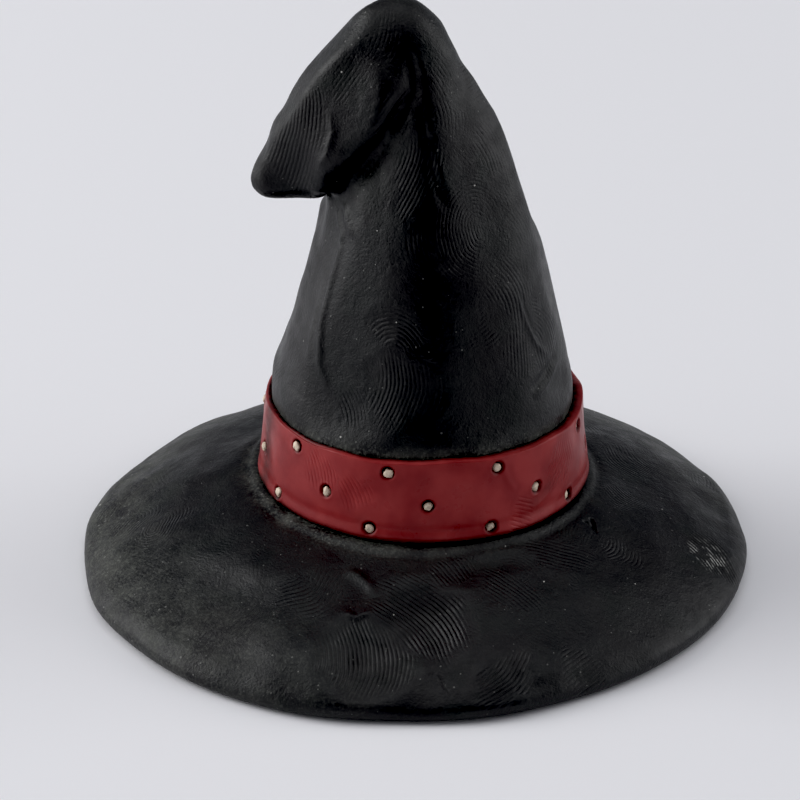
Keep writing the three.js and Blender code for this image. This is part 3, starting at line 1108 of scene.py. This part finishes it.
def prick_pits(clay, pits, shade):
    """A pricked pit for each dot, with a raised border, and the paint darker in and round it."""
    for place in pits:
        centre, outward = clay.nearest(place)
        gap = distance(clay.points, centre)
        sunk = 1 - smoothstep(PIT_RADIUS * 0.72, PIT_RADIUS * 1.08, gap)
        border = bell(gap - PIT_RADIUS * 1.25, 0.16)
        clay.points += outward * (0.05 * border - PIT_DEPTH * sunk)[:, None]
        pit_darkening = 1.2 * (1 - smoothstep(PIT_RADIUS * 0.8, PIT_RADIUS * 1.25, gap))
        shade = np.maximum(shade, pit_darkening)
    clay.settle()
    clay.keep("shade_and_darkening", np.clip(shade, 0, 1))


def sculpt_band(clay, pits):
    """Thumbed all round, with a wavy top edge, a rolled foot and a pricked pit for each dot."""
    angle, _ = around(clay.points, BAND_X)
    outside, height = thumb_band(clay)
    wave = 0.12 * np.sin(4 * angle + 0.7) + 0.08 * np.sin(9 * angle + 2) + 0.05 * np.sin(17 * angle)
    clay.points[:, 2] += smoothstep(band_high.z - 2.5, band_high.z, height) * wave
    clay.settle()
    prick_pits(clay, pits, shade_and_darken_band(clay, angle, outside, height))
    return clay


def make_dot(name, place):
    """A pinch of cream clay, pressed a little flat into its pit."""
    chance = random.Random(name)
    low, high = (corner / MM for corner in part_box(name))
    across = (high.z - low.z) / 2
    outward = Vector((place.x - BAND_X, place.y, 0)).normalized()
    outward = Vector((outward.x, outward.y, math.tan(BAND_FLARE))).normalized()
    bm = bmesh.new()
    bmesh.ops.create_icosphere(bm, subdivisions=3, radius=1)
    shift = Vector([chance.uniform(0, 50) for _ in range(3)])
    for vert in bm.verts:
        broad, small = noise.noise(vert.co * 1.2 + shift), noise.noise(vert.co * 3 + shift)
        vert.co *= 1 + 0.32 * broad + 0.1 * small
    wide, tall = across * chance.uniform(0.9, 1.08), across * chance.uniform(0.9, 1.08)
    facing = outward.to_track_quat("Z", "Y").to_matrix().to_4x4()
    shape = facing @ Matrix.Diagonal((wide, tall, across * 0.62, 1))
    bmesh.ops.transform(bm, matrix=Matrix.Translation(place - outward * 0.02) @ shape, verts=bm.verts)
    bmesh.ops.scale(bm, vec=(MM,) * 3, verts=bm.verts)
    piece = new_piece(name.replace("dot", "pellet"), bm)
    piece.data.shade_smooth()
    piece.data.materials.append(cream_paint)
    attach(piece, "root")
    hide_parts(name)


dots = dot_places()
band = sculpt_band(make_band(), dots.values())
finish_piece(band, "hatband", red_paint)
for name, place in dots.items():
    make_dot(name, place)


# -------- floor, light and camera


def make_floor():
    bm = bmesh.new()
    bmesh.ops.create_circle(bm, cap_ends=True, segments=96, radius=0.7)
    floor = new_piece("floor", bm)
    paint, _, shader, _ = new_paint("pale_floor")
    shader.inputs["Base Color"].default_value = (*FLOOR_WHITE, 1)
    shader.inputs["Roughness"].default_value = 0.7
    floor.data.materials.append(paint)


def make_window(name, place, power):
    """A square soft light that faces the hat."""
    lamp = bpy.data.lights.new(name, "AREA")
    lamp.size = 0.6
    lamp.energy = power
    thing = bpy.data.objects.new(name, lamp)
    thing.location = place
    aim = Vector((0, 0, 0.03)) - Vector(place)
    thing.rotation_euler = aim.to_track_quat("-Z", "Y").to_euler()
    bpy.context.scene.collection.objects.link(thing)


def make_world():
    """Pale walls to the sides and behind, a greyer ceiling, and a dim room in front."""
    world = bpy.data.worlds.new("studio")
    bpy.context.scene.world = world
    world.use_nodes = True
    tree = world.node_tree
    direction = tree.nodes.new("ShaderNodeTexCoord").outputs["Generated"]
    split = add(tree, "ShaderNodeSeparateXYZ", {"Vector": direction})
    behind = ranged(tree, split.outputs["Y"], -0.75, -0.1)
    low = mixed(tree, behind, (0.01, 0.011, 0.014), (0.5, 0.51, 0.54))
    middle = mixed(tree, ranged(tree, split.outputs["Z"], 0.0, 0.28), low, (0.08, 0.085, 0.1))
    above = mixed(tree, ranged(tree, split.outputs["Z"], 0.75, 1.0), middle, (1.1, 1.11, 1.14))
    left = mixed(tree, ranged(tree, split.outputs["X"], -1.0, -0.62, 1.0, 0.0), above, (1.95, 1.96, 1.98))
    lit = mixed(tree, ranged(tree, split.outputs["X"], 0.7, 1.0), left, (1.5, 1.51, 1.53))
    seen = tree.nodes.new("ShaderNodeLightPath").outputs["Is Camera Ray"]
    tree.links.new(mixed(tree, seen, lit, (0.68, 0.675, 0.7)), tree.nodes["Background"].inputs["Color"])


def make_camera():
    """In front of the hat, a little above it, and rolled by half a degree."""
    target = Vector((-1.65, 0, 18.9)) * MM
    elevation, distance, roll = math.radians(26.1), 345 * MM, math.radians(0.5)
    back = Vector((0, -math.cos(elevation), math.sin(elevation)))
    level = Vector((1, 0, 0))
    upright = back.cross(level)
    right = level * math.cos(roll) + upright * math.sin(roll)
    up = upright * math.cos(roll) - level * math.sin(roll)
    data = bpy.data.cameras.new("camera")
    data.sensor_width = 36
    data.lens = 139.2
    data.clip_start = 0.01
    camera = bpy.data.objects.new("camera", data)
    turned = Matrix((right, up, back)).transposed().to_4x4()
    camera.matrix_world = Matrix.Translation(target + back * distance) @ turned
    bpy.context.scene.collection.objects.link(camera)
    bpy.context.scene.camera = camera


make_floor()
make_world()
make_window("window_left", (-0.75, 0.1, 0.5), 3.2)
make_window("window_right", (0.75, 0.2, 0.5), 1.4)
make_camera()
view = bpy.context.scene.view_settings
view.view_transform = "Standard"
view.use_curve_mapping = True
view.curve_mapping.black_level = (0.011,) * 3
view.curve_mapping.white_level = (0.87,) * 3
view.curve_mapping.update()
